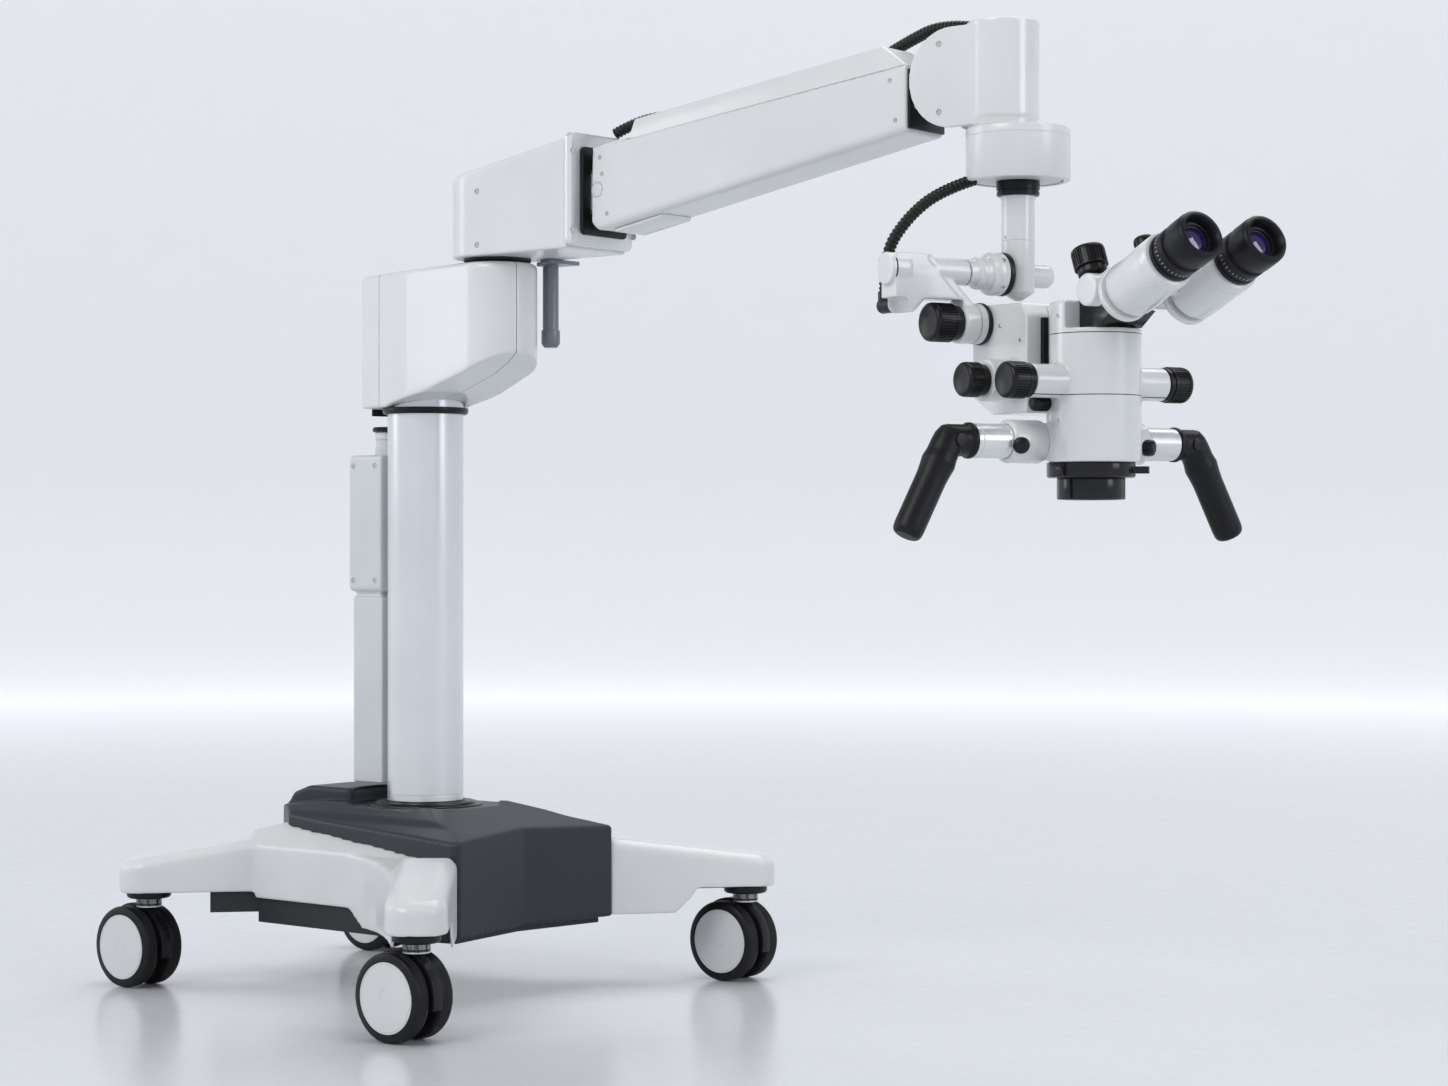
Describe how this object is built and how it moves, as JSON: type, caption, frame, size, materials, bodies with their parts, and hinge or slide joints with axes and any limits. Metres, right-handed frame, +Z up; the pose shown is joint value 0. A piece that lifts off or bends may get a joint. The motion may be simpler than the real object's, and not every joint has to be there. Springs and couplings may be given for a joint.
{
  "type": "surgical microscope on floor stand",
  "caption": "Floor-standing surgical microscope: a binocular head with side handles hangs from a jointed, self-levelling arm on a weighted castor base.",
  "frame": {"origin": "on the floor, on the axis of the column", "axes": "+Z up; +X along the base's line of symmetry, towards its wide end, which the lift arm points along at rest; +Y to the left of +X"},
  "size_m": [1.981, 0.8264, 1.3804],
  "materials": {
    "ballast_iron": "dark paint over cast iron",
    "white_cover": "satin white moulded cover",
    "slate_cover": "fine textured dark slate cover",
    "black_trim": "matt black",
    "column_metal": "satin silver anodised",
    "grey_case": "satin light grey",
    "black_metal": "black powder coat",
    "light_alloy": "satin pale grey lacquer",
    "black_rubber": "ribbed soft rubber",
    "white_alloy": "white lacquered casting",
    "castor_plastic": "glass filled nylon",
    "castor_tyre": "dark tread with pale grey side discs",
    "black_knob": "black with vertical flutes",
    "black_grip": "fine textured black",
    "lens_glass": "coated optical glass"
  },
  "bodies": {
    "base": {"base_chassis": "ballast_iron", "base_cover_right": "white_cover", "base_cover_left": "white_cover", "base_center_cover": "slate_cover", "column_foot_ring": "black_trim", "column_tube": "column_metal", "cable_case": "grey_case", "cable_gland": "grey_case", "castor_plates": "black_metal"},
    "castor_front_right": {"castor_hood_front_right": "castor_plastic"},
    "wheels_front_right": {"castor_wheels_front_right": "castor_tyre"},
    "castor_front_left": {"castor_hood_front_left": "castor_plastic"},
    "wheels_front_left": {"castor_wheels_front_left": "castor_tyre"},
    "castor_rear_right": {"castor_hood_rear_right": "castor_plastic"},
    "wheels_rear_right": {"castor_wheels_rear_right": "castor_tyre"},
    "castor_rear_left": {"castor_hood_rear_left": "castor_plastic"},
    "wheels_rear_left": {"castor_wheels_rear_left": "castor_tyre"},
    "lower_arm": {"lower_arm_housing": "white_cover", "lower_arm_trim": "black_trim"},
    "swing_unit": {"swing_housing": "white_cover", "swing_pivot_ring": "black_metal", "drop_tube": "black_metal", "swing_front_frame": "light_alloy", "swing_gasket": "black_rubber"},
    "lift_arm": {"lift_arm_shell": "white_alloy", "lift_arm_top_cover": "white_cover", "lift_arm_under_plate": "light_alloy", "arm_hose": "black_rubber"},
    "knuckle": {"knuckle_block": "white_alloy", "knuckle_cap": "white_cover"},
    "suspension": {"suspension_disc": "white_alloy", "suspension_collar": "black_trim", "suspension_post": "light_alloy", "head_hose": "black_rubber"},
    "bracket": {"head_bracket": "white_alloy"},
    "tilt_lock": {"tilt_knob": "black_knob"},
    "carrier": {"head_carrier": "white_alloy"},
    "focus_drive": {"focus_knob": "black_knob"},
    "carrier_lock": {"lock_knob_rear": "black_knob"},
    "microscope": {"microscope_body": "white_alloy", "objective_mount": "black_trim", "objective_housing": "black_trim", "objective_lens": "lens_glass", "handle_clamp_right": "white_alloy", "handle_clamp_left": "white_alloy", "binocular_mount": "black_trim"},
    "zoom_drive": {"zoom_knobs": "black_knob"},
    "handle_right": {"handle_tube_right": "light_alloy", "handle_grip_right": "black_grip"},
    "button_right": {"handle_button_right": "black_knob"},
    "tube_right": {"eyepiece_tube_right": "white_alloy"},
    "ocular_right": {"eyepiece_right": "black_knob"},
    "handle_left": {"handle_tube_left": "light_alloy", "handle_grip_left": "black_grip"},
    "button_left": {"handle_button_left": "black_knob"},
    "tube_left": {"eyepiece_tube_left": "white_alloy"},
    "ocular_left": {"eyepiece_left": "black_knob"},
    "binocular": {"binocular_hinge": "white_alloy"},
    "binocular_lock": {"binocular_knob": "black_knob"},
    "prism_lock": {"binocular_top_knob": "black_knob"}
  },
  "joints": [
    {"name": "swivel_front_right", "type": "hinge", "parent": "base", "child": "castor_front_right", "pos_m": [0.341, -0.366, 0.13], "axis": [0, 0, 1], "continuous": true},
    {"name": "roll_front_right", "type": "hinge", "parent": "castor_front_right", "child": "wheels_front_right", "pos_m": [0.317, -0.366, 0.0625], "axis": [0, 1, 0], "continuous": true},
    {"name": "swivel_front_left", "type": "hinge", "parent": "base", "child": "castor_front_left", "pos_m": [0.341, 0.366, 0.13], "axis": [0, 0, 1], "continuous": true},
    {"name": "roll_front_left", "type": "hinge", "parent": "castor_front_left", "child": "wheels_front_left", "pos_m": [0.317, 0.366, 0.0625], "axis": [0, 1, 0], "continuous": true},
    {"name": "swivel_rear_right", "type": "hinge", "parent": "base", "child": "castor_rear_right", "pos_m": [-0.341, -0.26, 0.13], "axis": [0, 0, 1], "continuous": true},
    {"name": "roll_rear_right", "type": "hinge", "parent": "castor_rear_right", "child": "wheels_rear_right", "pos_m": [-0.365, -0.26, 0.0625], "axis": [0, 1, 0], "continuous": true},
    {"name": "swivel_rear_left", "type": "hinge", "parent": "base", "child": "castor_rear_left", "pos_m": [-0.341, 0.26, 0.13], "axis": [0, 0, 1], "continuous": true},
    {"name": "roll_rear_left", "type": "hinge", "parent": "castor_rear_left", "child": "wheels_rear_left", "pos_m": [-0.365, 0.26, 0.0625], "axis": [0, 1, 0], "continuous": true},
    {"name": "column_turn", "type": "hinge", "parent": "base", "child": "lower_arm", "pos_m": [0, 0, 1], "axis": [0, 0, 1], "range_deg": [-160, 160]},
    {"name": "swing_turn", "type": "hinge", "parent": "lower_arm", "child": "swing_unit", "pos_m": [0.20667, -0.05926, 1.1], "axis": [0, 0, 1], "range_deg": [-120, 36]},
    {"name": "arm_lift", "type": "hinge", "parent": "swing_unit", "child": "lift_arm", "pos_m": [0.44, -0.05926, 1.188], "axis": [0, -1, 0], "range_deg": [-12, 12], "deforming": ["arm_hose"]},
    {"name": "knuckle_level", "type": "hinge", "parent": "lift_arm", "child": "knuckle", "pos_m": [1.045, -0.05926, 1.288], "axis": [0, -1, 0], "range_deg": [-12, 12]},
    {"name": "head_turn", "type": "hinge", "parent": "knuckle", "child": "suspension", "pos_m": [1.12, -0.05926, 1.16], "axis": [0, 0, 1], "range_deg": [-120, 120]},
    {"name": "head_tilt", "type": "hinge", "parent": "suspension", "child": "bracket", "pos_m": [1.12, -0.05926, 1.03], "axis": [-0.3746, -0.9272, 0], "range_deg": [-25, 25], "deforming": ["head_hose"]},
    {"name": "tilt_lock_turn", "type": "hinge", "parent": "bracket", "child": "tilt_lock", "pos_m": [1.07505, -0.17052, 0.965], "axis": [0.3746, 0.9272, 0], "range_deg": [-180, 180]},
    {"name": "carrier_tilt", "type": "hinge", "parent": "bracket", "child": "carrier", "pos_m": [1.12, -0.05926, 0.965], "axis": [-0.3746, -0.9272, 0], "range_deg": [-25, 30]},
    {"name": "carrier_lock_turn", "type": "hinge", "parent": "microscope", "child": "carrier_lock", "pos_m": [1.22733, -0.16734, 0.858], "axis": [0.3746, 0.9272, 0], "range_deg": [-180, 180]},
    {"name": "focus_slide", "type": "slide", "parent": "carrier", "child": "microscope", "axis": [0, 0, 1], "range_m": [-0.015, 0.015]},
    {"name": "focus_turn", "type": "hinge", "parent": "carrier", "child": "focus_drive", "pos_m": [1.14744, -0.1782, 0.889], "axis": [0.3746, 0.9272, 0], "range_deg": [-180, 180]},
    {"name": "zoom_turn", "type": "hinge", "parent": "microscope", "child": "zoom_drive", "pos_m": [1.27299, -0.12107, 0.884], "axis": [0.3746, 0.9272, 0], "range_deg": [-150, 150]},
    {"name": "handle_turn_right", "type": "hinge", "parent": "microscope", "child": "handle_right", "pos_m": [1.19287, -0.19656, 0.811], "axis": [-0.3746, -0.9272, 0], "range_deg": [-60, 60]},
    {"name": "button_press_right", "type": "slide", "parent": "handle_right", "child": "button_right", "axis": [-0.9272, 0.3746, 0], "range_m": [0, 0.0025], "stiffness_N_per_m": 400, "springref_m": -0.0005},
    {"name": "handle_turn_left", "type": "hinge", "parent": "microscope", "child": "handle_left", "pos_m": [1.2678, -0.01112, 0.811], "axis": [-0.3746, -0.9272, 0], "range_deg": [-60, 60]},
    {"name": "button_press_left", "type": "slide", "parent": "handle_left", "child": "button_left", "axis": [-0.9272, 0.3746, 0], "range_m": [0, 0.0025], "stiffness_N_per_m": 400, "springref_m": -0.0005},
    {"name": "binocular_tilt", "type": "hinge", "parent": "microscope", "child": "binocular", "pos_m": [1.34809, -0.15141, 0.99], "axis": [-0.3746, -0.9272, 0], "range_deg": [-25, 25]},
    {"name": "binocular_lock_turn", "type": "hinge", "parent": "binocular", "child": "binocular_lock", "pos_m": [1.31594, -0.20098, 1.01782], "axis": [-0.3473, 0.1403, 0.9272], "range_deg": [-180, 180]},
    {"name": "prism_lock_turn", "type": "hinge", "parent": "binocular", "child": "prism_lock", "pos_m": [1.366, -0.15865, 1.04095], "axis": [-0.3473, 0.1403, 0.9272], "range_deg": [-180, 180]},
    {"name": "pupil_swing_right", "type": "hinge", "parent": "binocular", "child": "tube_right", "pos_m": [1.39011, -0.1684, 0.98459], "axis": [0.8597, -0.3473, 0.3746], "range_deg": [-10, 10]},
    {"name": "pupil_swing_left", "type": "hinge", "parent": "binocular", "child": "tube_left", "pos_m": [1.39011, -0.1684, 0.98459], "axis": [0.8597, -0.3473, 0.3746], "range_deg": [-10, 10]},
    {"name": "dioptre_right", "type": "hinge", "parent": "tube_right", "child": "ocular_right", "pos_m": [1.45829, -0.24717, 1.02205], "axis": [0.8597, -0.3473, 0.3746], "range_deg": [-150, 150]},
    {"name": "dioptre_left", "type": "hinge", "parent": "tube_left", "child": "ocular_left", "pos_m": [1.49388, -0.15909, 1.02205], "axis": [0.8597, -0.3473, 0.3746], "range_deg": [-150, 150]}
  ],
  "couplings": [
    {"joint": "knuckle_level", "follows": "arm_lift", "ratio": -1},
    {"joint": "focus_turn", "follows": "focus_slide", "rad_per_m": 200},
    {"joint": "pupil_swing_left", "follows": "pupil_swing_right", "ratio": -1}
  ]
}
